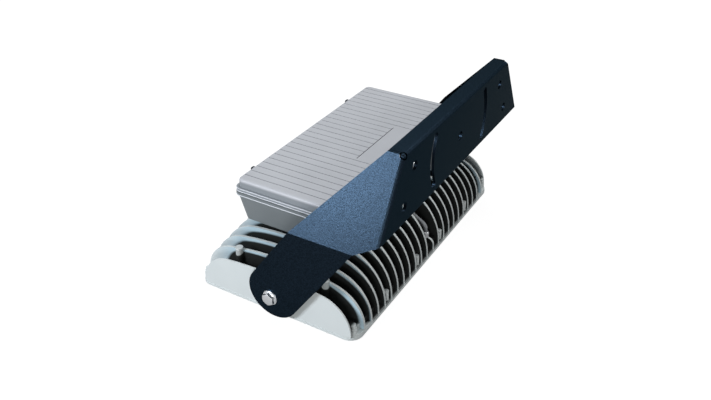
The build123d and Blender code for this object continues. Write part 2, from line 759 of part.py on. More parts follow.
def gear_box():
    tub = bottom_rounded(tapered_tub(0, FIN_TOP, BOX_RIM_Z), FIN_TOP, BOX_EDGE_R)
    flange = slab(BOX_WIDTH, BOX_LENGTH, BOX_CORNER_R, BOX_FLANGE_Z, BOX_RIM_Z)
    floor_z = FIN_TOP + BOX_WALL
    hollow = bottom_rounded(tapered_tub(BOX_WALL, floor_z, BOX_RIM_Z), floor_z, BOX_EDGE_R - BOX_WALL)
    solids = [flange]
    boss_y = wall_y(ENTRY_Z) + ENTRY_BOSS_REACH
    inner_y = wall_y(ENTRY_Z) - BOX_WALL
    for x in (ENTRY_X, VENT_X):
        solids.append(rod_y(x, ENTRY_Z, ENTRY_BOSS_R, inner_y - BOX_WALL, boss_y))
    for y in HINGE_Y:
        for start in (y - KNUCKLE_LENGTH * 1.5 - KNUCKLE_GAP, y + KNUCKLE_LENGTH / 2 + KNUCKLE_GAP):
            solids.append(knuckle(start, BOX_FLANGE_Z, hinge_z(), -BOX_WIDTH / 2))
    for y in EAR_Y:
        solids.append(ear(y, BOX_FLANGE_Z, BOX_RIM_Z, BOX_WIDTH / 2 - BOX_WALL))
    body = tub.fuse(*solids) - hollow
    standoffs = [rod_z(x, y, STANDOFF_R, floor_z, floor_z + STANDOFF_HEIGHT) for x, y in tray_holes()]
    body = body.fuse(*standoffs)
    cuts = []
    for x, y in tray_holes():
        cuts.append(rod_z(x, y, SCREW_R + THREAD_CLEARANCE, floor_z, floor_z + STANDOFF_HEIGHT))
    for x, y in pillars():
        cuts.append(rod_z(x, y, SCREW_R + SCREW_CLEARANCE, FIN_TOP, floor_z))
    for y in EAR_Y:
        hole_r = LID_SCREW_R + LID_SCREW_CLEARANCE
        cuts.append(rod_z(BOX_WIDTH / 2 + EAR_REACH, y, hole_r, BOX_FLANGE_Z, BOX_RIM_Z))
    cuts.append(rod_y(ENTRY_X, ENTRY_Z, GLAND_THREAD_R + THREAD_CLEARANCE, inner_y - 2 * BOX_WALL, boss_y))
    cuts.append(rod_y(VENT_X, ENTRY_Z, VENT_STEM_R + THREAD_CLEARANCE, inner_y - 2 * BOX_WALL, boss_y))
    cuts.append(rod_z(link_upper_x(), LINK_Y, LINK_R + THREAD_CLEARANCE, FIN_TOP, floor_z))
    return body.cut(*cuts)


def lid_inset():
    return LID_RIM_INSET + LID_STEP


def gear_lid():
    rim_z = BOX_RIM_Z + GASKET_THICKNESS
    rim_w = BOX_WIDTH - 2 * LID_RIM_INSET
    rim_l = BOX_LENGTH - 2 * LID_RIM_INSET
    rim = slab(rim_w, rim_l, BOX_CORNER_R - LID_RIM_INSET, rim_z, LID_SKIRT_Z)
    crown_w = rim_w - 2 * LID_STEP
    crown_l = rim_l - 2 * LID_STEP
    corner = BOX_CORNER_R - lid_inset() + LID_EDGE_R / 2
    crown = slab(crown_w, crown_l, corner, rim_z, LID_TOP)
    crown = fillet(crown.edges().filter_by_position(Axis.Z, LID_TOP - 0.01, LID_TOP + 0.01), LID_EDGE_R)
    hollow_w = crown_w - 2 * LID_WALL
    hollow_l = crown_l - 2 * LID_WALL
    hollow = slab(hollow_w, hollow_l, corner - LID_WALL, rim_z, LID_TOP - LID_WALL)
    solids = [crown]
    for y in HINGE_Y:
        y0 = y - KNUCKLE_LENGTH / 2
        solids.append(knuckle(y0, rim_z, rim_z + KNUCKLE_R, -rim_w / 2 + LID_WALL))
        solids.append(hinge_lug(y))
    for y in EAR_Y:
        solids.append(ear(y, rim_z, LID_SKIRT_Z, rim_w / 2 - LID_WALL))
    lid = rim.fuse(*solids) - hollow
    cuts = []
    for k in range(GROOVE_COUNT):
        y = GROOVE_FIRST + k * GROOVE_PITCH
        on_pad = PAD_START < y < PAD_END
        x1 = PAD_X if on_pad else crown_w / 2 - GROOVE_END
        cuts.append(groove(-crown_w / 2 + GROOVE_END, x1, y - GROOVE_WIDTH / 2, y + GROOVE_WIDTH / 2))
    cuts.append(groove(PAD_X, PAD_X + GROOVE_WIDTH, PAD_START, PAD_END))
    for y in EAR_Y:
        x = BOX_WIDTH / 2 + EAR_REACH
        cuts.append(rod_z(x, y, LID_SCREW_R + SCREW_CLEARANCE, rim_z, LID_SKIRT_Z))
    return lid.cut(*cuts)


def groove(x0, x1, y0, y1):
    return box(x0, x1, y0, y1, LID_TOP - GROOVE_DEPTH, LID_TOP)


def lid_gasket():
    rim_w = BOX_WIDTH - 2 * lid_inset()
    rim_l = BOX_LENGTH - 2 * lid_inset()
    z0 = BOX_RIM_Z
    z1 = BOX_RIM_Z + GASKET_THICKNESS
    outer = slab(rim_w, rim_l, BOX_CORNER_R, z0, z1)
    return outer - slab(rim_w - 2 * GASKET_WIDTH, rim_l - 2 * GASKET_WIDTH, BOX_CORNER_R, z0, z1)


def hinge_pins():
    reach = KNUCKLE_LENGTH * 1.5 + KNUCKLE_GAP
    pins = [rod_y(hinge_x(), hinge_z(), HINGE_PIN_R, y - reach, y + reach) for y in HINGE_Y]
    return Compound(children=pins)


def lid_screws():
    x = BOX_WIDTH / 2 + EAR_REACH
    length = LID_SKIRT_Z - BOX_FLANGE_Z
    return Compound(children=[screw_down(x, y, LID_SKIRT_Z, length) for y in EAR_Y])


# Inside the gear box

def tray_size():
    """Half width of the tray and the Y of its two ends; the wiring space lies beyond the far one."""
    floor_z = FIN_TOP + BOX_WALL
    half_w = wall_x(floor_z, BOX_WALL) - TRAY_WALL_GAP
    end = wall_y(floor_z, BOX_WALL)
    return half_w, TRAY_WALL_GAP - end, end - WIRING_LENGTH


def tray_z():
    return FIN_TOP + BOX_WALL + STANDOFF_HEIGHT


def tray_top():
    return tray_z() + TRAY_THICKNESS


def tray_holes():
    half_w, y0, y1 = tray_size()
    x = half_w - TRAY_FOLD
    return [(s * x, y) for s in (-1, 1) for y in (y0 + TRAY_FOLD, y1 - TRAY_FOLD)]


def gear_tray():
    half_w, y0, y1 = tray_size()
    z0 = tray_z()
    z1 = tray_top()
    plate = box(-half_w, half_w, y0, y1, z0, z1)
    folds = []
    fold_y0 = y0 + TRAY_FOLD_START
    fold_y1 = y1 - TRAY_FOLD_START
    for x in (-half_w, half_w - TRAY_THICKNESS):
        folds.append(box(x, x + TRAY_THICKNESS, fold_y0, fold_y1, z0, z0 + TRAY_FOLD))
    holes = [rod_z(x, y, SCREW_R + SCREW_CLEARANCE, z0, z1) for x, y in tray_holes()]
    return plate.fuse(*folds).cut(*holes)


def tray_screws():
    length = TRAY_THICKNESS + STANDOFF_HEIGHT
    return Compound(children=[screw_down(x, y, tray_top(), length) for x, y in tray_holes()])


def box_screws():
    seat = FIN_TOP + BOX_WALL
    length = BOX_WALL + RIM_SCREW_LENGTH - SCREW_CLEARANCE
    return Compound(children=[screw_down(x, y, seat, length) for x, y in pillars()])


def aux_y():
    """Middle line of the terminals and the surge protector, next to the wiring space."""
    return tray_size()[2] - AUX_FROM_END


def aux_reach():
    """How far from the middle plane they may reach, clear of the tray's screws."""
    return tray_size()[0] - TRAY_FOLD - SCREW_HEAD_R - AUX_SIDE_GAP


def driver_places():
    x = tray_size()[0] - TRAY_THICKNESS - DRIVER_SIDE_GAP - DRIVER_WIDTH / 2
    return -x, x


def driver_span():
    """Y of the two ends of the driver cases, without their feet."""
    y0 = tray_size()[1] + DRIVER_END_GAP + DRIVER_FOOT
    return y0, aux_y() - TERMINAL_DEPTH / 2 - DRIVER_AUX_GAP - DRIVER_FOOT


def led_drivers():
    z0 = tray_top()
    y0, y1 = driver_span()
    drivers = []
    for x in driver_places():
        case = box(x - DRIVER_WIDTH / 2, x + DRIVER_WIDTH / 2, y0, y1, z0, z0 + DRIVER_HEIGHT)
        case = chamfer(case.edges().filter_by(Axis.Y).group_by(Axis.Z)[-1], CASE_CHAMFER)
        foot_half = DRIVER_WIDTH / 4
        foot_z = z0 + TRAY_THICKNESS
        foot = box(x - foot_half, x + foot_half, y0 - DRIVER_FOOT, y1 + DRIVER_FOOT, z0, foot_z)
        drivers.append(case + foot)
    return Compound(children=drivers)


def driver_screws():
    seat = tray_top() + TRAY_THICKNESS
    y0, y1 = driver_span()
    heads = []
    for x in driver_places():
        for y in (y0 - DRIVER_FOOT / 2, y1 + DRIVER_FOOT / 2):
            heads.append(rod_z(x, y, SCREW_HEAD_R, seat, seat + SCREW_HEAD_HEIGHT))
    return Compound(children=heads)


def terminal_block():
    width = TERMINAL_WAYS * TERMINAL_PITCH
    half_d = TERMINAL_DEPTH / 2
    z0 = tray_top()
    z1 = z0 + TERMINAL_HEIGHT
    hole_r = TERMINAL_PITCH / 4
    wire_z = z0 + TERMINAL_HEIGHT / 3
    cuts = []
    for k in range(TERMINAL_WAYS):
        x = (k + 0.5) * TERMINAL_PITCH
        cuts.append(rod_z(x, 0, hole_r, z1 - TERMINAL_HEIGHT / 3, z1))
        cuts += mirror_ends(rod_y(x, wire_z, hole_r, half_d / 3, half_d))
    body = box(0, width, -half_d, half_d, z0, z1).cut(*cuts)
    return Pos(-aux_reach(), aux_y(), 0) * body


def surge_protector():
    x1 = aux_reach()
    y = aux_y()
    z0 = tray_top()
    case = box(x1 - SURGE_WIDTH, x1, y - SURGE_DEPTH / 2, y + SURGE_DEPTH / 2, z0, z0 + SURGE_HEIGHT)
    return chamfer(case.edges().group_by(Axis.Z)[-1], CASE_CHAMFER)


# Cable entry, vent and link

def entry_face_y():
    return wall_y(ENTRY_Z) + ENTRY_BOSS_REACH


def entry_inner_y():
    return wall_y(ENTRY_Z) - 2 * BOX_WALL


def cable_gland():
    y = entry_face_y()
    y_in = entry_inner_y() - GLAND_LOCKNUT_HEIGHT
    thread = rod_y(ENTRY_X, ENTRY_Z, GLAND_THREAD_R, y_in, y)
    collar = hex_prism_y(ENTRY_X, ENTRY_Z, GLAND_HEX_FLATS, y, y + GLAND_HEX_HEIGHT)
    bore = rod_y(ENTRY_X, ENTRY_Z, GLAND_BORE_R, y_in, y + GLAND_HEX_HEIGHT)
    return thread + collar - bore


def gland_locknut():
    y1 = entry_inner_y()
    y0 = y1 - GLAND_LOCKNUT_HEIGHT
    nut = hex_prism_y(ENTRY_X, ENTRY_Z, GLAND_HEX_FLATS, y0, y1)
    return nut - rod_y(ENTRY_X, ENTRY_Z, GLAND_THREAD_R + THREAD_CLEARANCE, y0, y1)


def gland_cap():
    y0 = entry_face_y() + GLAND_HEX_HEIGHT
    y1 = y0 + GLAND_NUT_HEIGHT
    cap = rod_y(ENTRY_X, ENTRY_Z, GLAND_NUT_R, y0, y1)
    cap = fillet(cap.edges().sort_by(Axis.Y)[-1], GLAND_NUT_R - GLAND_BORE_R - GLAND_LIP)
    return cap - rod_y(ENTRY_X, ENTRY_Z, GLAND_BORE_R, y0, y1)


def gland_plug():
    """Rubber blanking plug that fills the gland while no cable is fitted."""
    y0 = entry_face_y()
    y1 = y0 + GLAND_HEX_HEIGHT + GLAND_NUT_HEIGHT - PLUG_RECESS
    return rod_y(ENTRY_X, ENTRY_Z, GLAND_BORE_R, y0, y1)


def pressure_vent():
    y = entry_face_y()
    stem = rod_y(VENT_X, ENTRY_Z, VENT_STEM_R, entry_inner_y(), y)
    head = rod_y(VENT_X, ENTRY_Z, VENT_R, y, y + VENT_HEIGHT)
    return stem + chamfer(head.edges().sort_by(Axis.Y)[-1], VENT_CHAMFER)


def link_lower_x():
    return BODY_X + HALF_W - FIN_INSET - LINK_FROM_EDGE


def link_upper_x():
    return wall_x(FIN_TOP) - LINK_FROM_WALL


def link_route():
    """Corners of the sealed link from the light chamber up to the gear box floor."""
    low = RIB_TOP + LINK_GLAND_HEIGHT
    high = FIN_TOP - LINK_GLAND_HEIGHT
    return [
        (link_lower_x(), LINK_Y, low),
        (link_lower_x(), LINK_Y, low + LINK_STRAIGHT),
        (link_upper_x(), LINK_Y, high - LINK_STRAIGHT),
        (link_upper_x(), LINK_Y, high),
    ]


def link_conduit():
    points = link_route()
    path = FilletPolyline(*points, radius=LINK_BEND_R)
    section = Plane(origin=points[0], z_dir=(0, 0, 1)) * Circle(LINK_R)
    return sweep(section, path=path)


def link_glands():
    low = rod_z(link_lower_x(), LINK_Y, LINK_GLAND_R, RIB_TOP, RIB_TOP + LINK_GLAND_HEIGHT)
    high = rod_z(link_upper_x(), LINK_Y, LINK_GLAND_R, FIN_TOP - LINK_GLAND_HEIGHT, FIN_TOP)
    low = fillet(low.edges().sort_by(Axis.Z)[-1], LINK_DOME_R)
    high = fillet(high.edges().sort_by(Axis.Z)[0], LINK_DOME_R)
    return Compound(children=[low, high])


def pair(shape):
    return Compound(children=mirror_ends(shape))


NODES = {
    "bracket": bracket,
    "led_housing": led_housing,
    "front_frame": front_frame,
    "frame_screws": frame_screws,
    "front_glass": front_glass,
    "glass_seal": glass_seal,
    "led_boards": led_boards,
    "lens_plates": lens_plates,
    "pivot_bolts": lambda: pair(pivot_bolt()),
    "pivot_washers": lambda: pair(pivot_washer()),
    "pivot_bushes": lambda: pair(pivot_bush()),
    "gear_box": gear_box,
    "box_screws": box_screws,
    "gear_tray": gear_tray,
    "tray_screws": tray_screws,
    "led_drivers": led_drivers,
    "driver_screws": driver_screws,
    "terminal_block": terminal_block,
    "surge_protector": surge_protector,
    "cable_gland": cable_gland,
    "gland_locknut": gland_locknut,
    "gland_cap": gland_cap,
    "gland_plug": gland_plug,
    "pressure_vent": pressure_vent,
    "link_glands": link_glands,
    "link_conduit": link_conduit,
    "gear_lid": gear_lid,
    "lid_gasket": lid_gasket,
    "lid_screws": lid_screws,
    "hinge_pins": hinge_pins,
}

os.makedirs("parts", exist_ok=True)
to_wall_hole = Pos(-WALL_FACE_X, 0, -MIDDLE_HOLE_Z)
for name, build in NODES.items():
    export_step(to_wall_hole * build(), f"parts/{name}.step")
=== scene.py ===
from math import radians

import bpy
import numpy as np
from mathutils import Matrix, Vector


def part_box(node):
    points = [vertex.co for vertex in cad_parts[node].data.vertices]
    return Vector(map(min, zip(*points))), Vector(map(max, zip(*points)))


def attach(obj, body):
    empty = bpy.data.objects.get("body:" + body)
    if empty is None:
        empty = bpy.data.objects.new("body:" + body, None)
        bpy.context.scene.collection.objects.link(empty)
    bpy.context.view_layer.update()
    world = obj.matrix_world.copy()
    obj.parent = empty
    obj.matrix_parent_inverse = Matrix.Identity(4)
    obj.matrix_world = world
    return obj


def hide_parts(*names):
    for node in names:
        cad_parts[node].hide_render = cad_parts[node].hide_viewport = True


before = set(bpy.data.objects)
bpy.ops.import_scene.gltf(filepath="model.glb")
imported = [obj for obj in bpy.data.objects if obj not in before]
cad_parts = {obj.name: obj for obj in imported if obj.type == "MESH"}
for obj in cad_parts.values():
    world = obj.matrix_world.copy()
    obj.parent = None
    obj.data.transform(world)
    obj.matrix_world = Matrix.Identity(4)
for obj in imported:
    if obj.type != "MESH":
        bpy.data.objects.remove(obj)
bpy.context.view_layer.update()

# Large finned flood light in a folded wall bracket: finishes, small fittings, camera and light.
# Metres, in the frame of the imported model. The origin is the bracket's middle hole on the wall face.
# The wall is on the +X side, so the open side is towards -X, and the near end is towards -Y.

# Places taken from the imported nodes: the pivot, the casting's middle plane and the frame's underside
HOUSING_LOW, HOUSING_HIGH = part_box("led_housing")
BOLTS_LOW, BOLTS_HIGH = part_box("pivot_bolts")
PIVOT_X = (BOLTS_LOW.x + BOLTS_HIGH.x) / 2.0
PIVOT_Z = (BOLTS_LOW.z + BOLTS_HIGH.z) / 2.0
CASTING_X = (HOUSING_LOW.x + HOUSING_HIGH.x) / 2.0
UNDERSIDE_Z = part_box("front_frame")[0].z

# Camera at the photograph's viewpoint
CAMERA_AT = Vector((0.44896, -1.10778, 0.62229))
LOOK_AT = Vector((-0.15573, -0.10092, -0.12810))
CAMERA_ROLL = radians(-0.455)
LENS_MM = 38.27
SENSOR_MM = 36.0

# The outline of the fins: half width, foot, rise to the crown, and the crown's arc along Y
FIN_HALF = 0.1705
FIN_SHOULDER_Z = UNDERSIDE_Z + 0.012
FIN_RISE = HOUSING_HIGH.z - FIN_SHOULDER_Z
CROWN_START = 0.110
CROWN_R = 0.390
SQUARENESS = 2.5

# The fins along Y: middle of the first one in each half, spacing, half thickness and last gap
NEAR_FIN_Y = 0.0160
FAR_FIN_Y = 0.0112
FIN_PITCH = 0.0243
FIN_HALF_THICKNESS = 0.0024
LAST_GAP_Y = NEAR_FIN_Y + 10.5 * FIN_PITCH
END_INNER = HOUSING_HIGH.y - 0.003

# How close to a fin's face counts as its rim, and as the face itself
RIM_TOLERANCE = 0.00004
FACE_TOLERANCE = 0.00006
END_FACE_FADE = 0.0006

# Reach of the lit paint into the gaps before the painted shade, in shares of the fins' outline:
# where the shade starts, how wide the lit strip is at the sides and on the open shoulder, and over
# how much the shade fades in
SHADE_START = 1.03
SIDE_STRIP = 0.06
SHOULDER_STRIP = 0.03
END_SHOULDER_STRIP = 0.24
RIM_FADE = 0.045
SHOULDER_FADE = 0.17

# Where the open side and its shoulder begin and are complete along X, and the ends along Y
OPEN_SIDE = (CASTING_X + 0.03, CASTING_X - 0.03)
OPEN_SHOULDER = (CASTING_X - 0.095, CASTING_X - 0.165)
NEAR_THE_ENDS = (0.225, 0.262)

# The shaded end gaps with their round posts
END_GAP_Y = 0.2622
END_GAP_HALF = 0.72 * FIN_HALF
POST_SIDE_TOP_Z = UNDERSIDE_Z + 0.089
POST_X = 0.0927
POST_R = 0.0070
POST_MARGIN = 0.0003
GAP_SHADE = 0.93
POST_SHADE = 0.38

# The round screw bosses along the rim
RIM_SCREW_Y = (0.0500, 0.1716)
RIM_SCREW_X = 0.1635
RIM_BOSS_R = 0.0055
BOSS_MARGIN = 0.0002

# Gloss of the housing's paint, and how much duller it is under the painted shade in the gaps
HOUSING_ROUGHNESS = 0.42
GAP_SHADE_DULLNESS = 0.50

# The lid: its top, the ends of its grooves and flat, and the groove beside the pad, from the pivot
LID_TOP_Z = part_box("gear_lid")[1].z
GROOVE_TOP_Z = LID_TOP_Z - 0.0004
GROOVE_FLOOR_Z = LID_TOP_Z - 0.0011
LID_GROOVE_END = 0.1073
LID_FLAT_END = 0.2255
PAD_LINE_X = PIVOT_X + 0.0362
PAD_LINE_HALF = 0.0009
# Past this X the lid's hinge side, with its hinge eyes, takes painted shade
HINGE_SIDE_X = PIVOT_X - 0.1163
# Heights over which painted shade darkens the lid's sides down to the skirt
SKIRT = (LID_TOP_Z - 0.0035, LID_TOP_Z - 0.0075)

# Just below the underside of the light engines' boards, where their chips stand
CHIP_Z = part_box("led_boards")[1].z - 0.0017

# Button-head screws: shank with a chamfered tip, rounded head and hexagon socket, and how far apart
# two vertices of one screw can be in plan
SCREW_COLUMNS = 36
SCREW_TIP_R = 0.0020
SCREW_TIP_LENGTH = 0.0005
SCREW_SHANK_R = 0.0025
SCREW_HEAD_R = 0.0046
SCREW_HEAD_HEIGHT = 0.0026
HEAD_EDGE = ((0.0011, 0.0), (0.0004, 0.0003), (0.0, 0.0011))
SOCKET_HALF_FLATS = 0.0015
SOCKET_CHAMFER = 0.0002
SOCKET_DEPTH = 0.0016
THINNEST_SHANK = 0.0001
SAME_SCREW = 2.2 * SCREW_HEAD_R

# Flanged hexagon bolts at the pivot, with heights above the seat for the flange and its slope
BOLT_COLUMNS = 72
BOLT_TIP_R = 0.0062
BOLT_TIP_LENGTH = 0.0009
BOLT_SHANK_R = 0.0070
BOLT_SEAT = 0.0391
BOLT_FLANGE_R = 0.0126
BOLT_FLANGE_EDGE = 0.0002
BOLT_FLANGE_SIDE = 0.0014
BOLT_SLOPE_START = 0.0022
BOLT_SLOPE_END = 0.0026
BOLT_SLOPE_FILLET = 0.0004
BOLT_HALF_FLATS = 0.01075
BOLT_HEAD_HEIGHT = 0.0080
BOLT_TOP_SHARE = 0.94
BOLT_CHAMFER = radians(30.0)

# Rounded ridges round the lid's rim and the box's flange: their section, how far its middle lies
# inside the face, the faces' half sizes and corners, and the ridges' heights
BEAD_R = 0.0010
BEAD_SINK = 0.0003
FLANGE_HALF_X = 0.117
FLANGE_HALF_Y = 0.237
FLANGE_CORNER_R = 0.014
LID_RIM_INSET = 0.0012
LID_BEADS_Z = (-0.0812, -0.0865)
BOX_BEAD_Z = -0.0943

# Welds in the bracket's upper corners
WELD_R = 0.0052
WELD_INSET = 0.0056
CORNER_Y = 0.2152
CORNER_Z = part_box("bracket")[1].z
WELD_COLUMNS, WELD_ROWS = 32, 15
WELD_POLE = 0.06
WELD_RIPPLE = 0.05

# Slotted screws in the terminal block
TERMINAL_WAYS = 5
TERMINAL_PITCH = 0.012
TERMINAL_SCREW_FOOT = 0.0060
TERMINAL_SCREW_R = 0.0028
TERMINAL_SCREW_SIDE = 0.0030
TERMINAL_SCREW_TOP = 0.0032
TERMINAL_COLUMNS = 48
TERMINAL_RINGS = (0.0026, 0.0023, 0.0019, 0.0015, 0.0011, 0.0008, 0.0005, 0.0002)
SLOT_HALF_WIDTH = 0.0004
SLOT_DEPTH = 0.0007
SLOT_TURN = 0.6

# Floor and backdrop: how white the floor is near the lamp and far out, and what reflections see
FLOOR_HALF = 6.0
FLOOR_GAP = 0.0012
FLOOR_WHITE = 0.90
FAR_OUT = (0.8, 2.5)
FLOOR_IN_REFLECTIONS = 0.38
BACKDROP_IN_REFLECTIONS = 0.5
SKY_STRENGTH = 0.14
LIT_PLACE = Vector((PIVOT_X, 0.0, -0.1))


# Camera

def make_camera():
    """Camera that looks from the photograph's viewpoint, rolled by a fraction of a degree."""
    data = bpy.data.cameras.new("camera")
    data.lens = LENS_MM
    data.sensor_width = SENSOR_MM
    camera = bpy.data.objects.new("camera", data)
    bpy.context.scene.collection.objects.link(camera)
    aim = (LOOK_AT - CAMERA_AT).to_track_quat("-Z", "Y").to_matrix().to_4x4()
    camera.matrix_world = Matrix.Translation(CAMERA_AT) @ aim @ Matrix.Rotation(CAMERA_ROLL, 4, "Z")
    bpy.context.scene.camera = camera


make_camera()


# Colours and nodes

def linear(code, alpha=1.0):
    """An sRGB hex colour as linear RGBA."""
    srgb = np.array([int(code[i:i + 2], 16) for i in (1, 3, 5)]) / 255.0
    rgb = np.where(srgb <= 0.04045, srgb / 12.92, ((srgb + 0.055) / 1.055) ** 2.4)
    return (*rgb.tolist(), alpha)


def add(tree, kind, *values, inputs=None, output=0, **settings):
    """Adds a shader node and gives one of its outputs. The values fill its inputs in order, and inputs
    fills those that it names or numbers: a socket is linked, and anything else is set. The other
    words are settings of the node itself."""
    node = tree.nodes.new("ShaderNode" + kind)
    for name, value in settings.items():
        setattr(node, name, value)
    for place, value in [*enumerate(values), *(inputs or {}).items()]:
        if isinstance(value, bpy.types.NodeSocket):
            tree.links.new(value, node.inputs[place])
        else:
            node.inputs[place].default_value = value
    return node.outputs[output] if node.outputs else None


# A Mix node takes its share at input 0 and two colours at 6 and 7, and gives their mix at output 2
COLOURS = {"data_type": "RGBA", "output": 2}

# A Map Range node goes from 0 at its first limit to 1 at its second, here without corners
SMOOTH = {"interpolation_type": "SMOOTHSTEP"}


def new_material(name, shader_values):
    """A material with one Principled shader, its tree, that shader and the shaded point's place."""
    material = bpy.data.materials.new(name)
    material.use_nodes = True
    tree = material.node_tree
    shader = tree.nodes["Principled BSDF"]
    for key, value in shader_values.items():
        shader.inputs[key].default_value = value
    return material, tree, shader, add(tree, "TexCoord", output="Object")


def per_metre(size_mm):
    """A texture's scale from the real size of its grains."""
    return 1000.0 / size_mm


def product(tree, first, *others):
    """All the values multiplied, so that masks from 0 to 1 hold together."""
    for other in others:
        first = add(tree, "Math", first, other, operation="MULTIPLY")
    return first


def distance(tree, value, place):
    """How far a value is from a place, without its sign."""
    offset = add(tree, "Math", value, place, operation="SUBTRACT")
    return add(tree, "Math", offset, operation="ABSOLUTE")


# Finishes

def textured_black_powder():
    """Metallic-effect powder coat, near black with a blue cast: its fine flakes sparkle blue where a
    light mirrors in it, and it stays dull and dark at a grazing view, as its tint says."""
    material, tree, shader, place = new_material("textured_black_powder", {
        "Metallic": 1.0,
        "Roughness": 0.34,
        "Specular Tint": linear("#b4b8b8"),
    })
    # The real grain is about 0.4 mm; it is drawn at 1.6 mm so that the picture shows it
    grain = add(tree, "TexNoise", inputs={"Vector": place, "Scale": per_metre(1.6), "Roughness": 0.6})
    flake = add(tree, "MapRange", grain, 0.38, 0.62)
    dark_and_pale = {0: flake, 6: linear("#18212a"), 7: linear("#273441")}
    colour = add(tree, "Mix", inputs=dark_and_pale, **COLOURS)
    relief = add(tree, "Bump", inputs={"Height": grain, "Strength": 0.35, "Distance": 0.0005})
    tree.links.new(colour, shader.inputs["Base Color"])
    tree.links.new(relief, shader.inputs["Normal"])
    return material


def cast_paint(name, low, high, roughness, shading=None):
    """Satin polyester paint over die-cast aluminium: soft and even, with the faint mottle of the
    casting under it and a fine peel in its gloss. shading(tree, shader, place, paint) gives the
    colour that takes the plain paint's place."""
    material, tree, shader, place = new_material(name, {
        "Roughness": roughness,
        "Specular IOR Level": 0.35,
        "IOR": 1.5,
    })
    mottle = add(tree, "TexNoise", inputs={"Vector": place, "Scale": per_metre(60.0), "Detail": 4.0})
    paint = add(tree, "Mix", inputs={0: mottle, 6: linear(low), 7: linear(high)}, **COLOURS)
    colour = shading(tree, shader, place, paint) if shading else paint
    peel = add(tree, "TexNoise", inputs={"Vector": place, "Scale": per_metre(2.5)})
    relief = add(tree, "Bump", inputs={"Height": peel, "Strength": 0.12, "Distance": 0.0003})
    tree.links.new(colour, shader.inputs["Base Color"])
    tree.links.new(relief, shader.inputs["Normal"])
    return material


def worked_metal(name, code, roughness, grain_mm):
    """Plated, drawn or anodised metal: bright, with a gloss that varies by about a third from grain
    to grain."""
    material, tree, shader, place = new_material(name, {
        "Base Color": linear(code),
        "Metallic": 1.0,
        "Roughness": roughness,
    })
    grain = add(tree, "TexNoise", inputs={"Vector": place, "Scale": per_metre(grain_mm), "Detail": 3.0})
    gloss = add(tree, "MapRange", grain, 0.0, 1.0, roughness * 0.75, roughness * 1.35)
    relief = add(tree, "Bump", inputs={"Height": grain, "Strength": 0.08, "Distance": 0.0001})
    tree.links.new(gloss, shader.inputs["Roughness"])
    tree.links.new(relief, shader.inputs["Normal"])
    return material


def moulded(name, low, high, roughness):
    """Moulded plastic or rubber: one colour with a fine spark-eroded grain of about 1.2 mm."""
    material, tree, shader, place = new_material(name, {"Roughness": roughness, "IOR": 1.5})
    grain = add(tree, "TexNoise", inputs={"Vector": place, "Scale": per_metre(1.2)})
    colour = add(tree, "Mix", inputs={0: grain, 6: linear(low), 7: linear(high)}, **COLOURS)
    relief = add(tree, "Bump", inputs={"Height": grain, "Strength": 0.15, "Distance": 0.0002})
    tree.links.new(colour, shader.inputs["Base Color"])
    tree.links.new(relief, shader.inputs["Normal"])
    return material


def clear(name, code, roughness, ior, transmission, wave_mm, wave_strength):
    """Clear pane or moulding, with a faint tint and a slow unevenness that bends what shows through."""
    material, tree, shader, place = new_material(name, {
        "Base Color": linear(code),
        "Roughness": roughness,
        "IOR": ior,
        "Transmission Weight": transmission,
    })
    wave = add(tree, "TexNoise", inputs={"Vector": place, "Scale": per_metre(wave_mm), "Detail": 1.0})
    relief = add(tree, "Bump", inputs={"Height": wave, "Strength": wave_strength, "Distance": 0.0002})
    tree.links.new(relief, shader.inputs["Normal"])
    return material


def fin_reach(tree, axes):
    """1 on the crowned outline of the fins, and less inside it.

    The outline is a superellipse in X and Z about the middle of the casting: the sum of the two
    shares, each to the power of the squareness, is 1 on it. Its height falls towards the ends by
    the square of the way past the crown's start, over twice the crown's radius.
    """
    past_start = add(tree, "Math", distance(tree, axes["Y"], 0.0), CROWN_START, operation="SUBTRACT")
    beyond = add(tree, "Math", past_start, 0.0, operation="MAXIMUM")
    squared = add(tree, "Math", beyond, 2.0, operation="POWER")
    height = add(tree, "Math", squared, -0.5 / CROWN_R, FIN_RISE, operation="MULTIPLY_ADD")
    from_foot = add(tree, "Math", axes["Z"], FIN_SHOULDER_Z, operation="SUBTRACT")
    above = add(tree, "Math", from_foot, 0.0, operation="MAXIMUM")
    rise = add(tree, "Math", above, height, operation="DIVIDE")
    side = add(tree, "Math", distance(tree, axes["X"], CASTING_X), FIN_HALF, operation="DIVIDE")
    powers = [add(tree, "Math", share, SQUARENESS, operation="POWER") for share in (side, rise)]
    total = add(tree, "Math", *powers, operation="ADD")
    return add(tree, "Math", total, 1.0 / SQUARENESS, operation="POWER")


def inside_the_gaps(tree, axes, shoulder):
    """0 on the fins' outline and 1 well inside it: the painted shade between the fins. The lit
    strip is wider on the open side and next to the low end plates, and widest and softest on the
    open shoulder."""
    open_side = add(tree, "MapRange", axes["X"], *OPEN_SIDE, **SMOOTH)
    ends = add(tree, "MapRange", distance(tree, axes["Y"], 0.0), *NEAR_THE_ENDS, **SMOOTH)
    open_or_end = add(tree, "Math", open_side, ends, operation="MAXIMUM")
    extra = add(tree, "Math", ends, END_SHOULDER_STRIP, SHOULDER_STRIP, operation="MULTIPLY_ADD")
    on_shoulder = add(tree, "Math", shoulder, extra, operation="MULTIPLY")
    strip = add(tree, "Math", open_or_end, SIDE_STRIP, on_shoulder, operation="MULTIPLY_ADD")
    lit_reach = add(tree, "Math", fin_reach(tree, axes), strip, operation="ADD")
    past_strip = add(tree, "Math", SHADE_START, lit_reach, operation="SUBTRACT")
    width = add(tree, "Math", shoulder, SHOULDER_FADE, RIM_FADE, operation="MULTIPLY_ADD")
    share = add(tree, "Math", past_strip, width, operation="DIVIDE")
    return add(tree, "MapRange", share, 0.0, 1.0, **SMOOTH)


